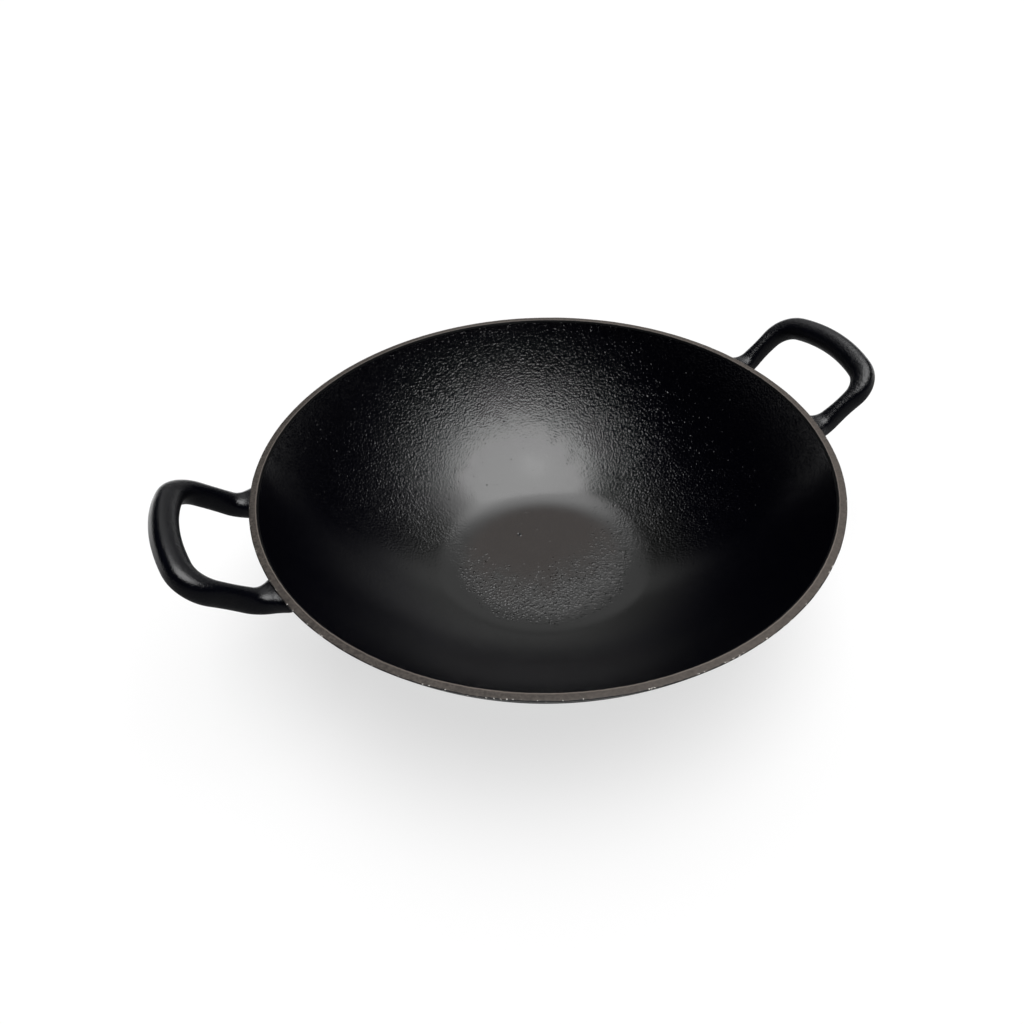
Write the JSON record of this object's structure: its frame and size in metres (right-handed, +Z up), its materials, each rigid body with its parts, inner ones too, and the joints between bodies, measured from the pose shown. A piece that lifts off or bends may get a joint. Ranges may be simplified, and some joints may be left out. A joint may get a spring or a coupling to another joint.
{
  "type": "wok",
  "caption": "Cast-iron wok: a round flared bowl on a flat base with a bare ground rim and loop handles slanting up, for frying and stewing on a stovetop.",
  "frame": {"origin": "centre of the flat underside, on the bowl's axis", "axes": "+Z up along the bowl's axis, +X through the middle of the right handle, +Y away from the viewer along the rim's other diameter"},
  "size_m": [0.3782, 0.2994, 0.1082],
  "materials": {
    "black_enamel": "satin, fine cast grain",
    "ground_iron": "ground, bare",
    "gloss_enamel": "gloss"
  },
  "bodies": {
    "root": {"base_disc": "black_enamel", "bowl_wall": "black_enamel", "rim_band": "ground_iron", "right_handle": "gloss_enamel", "left_handle": "gloss_enamel"}
  },
  "joints": []
}
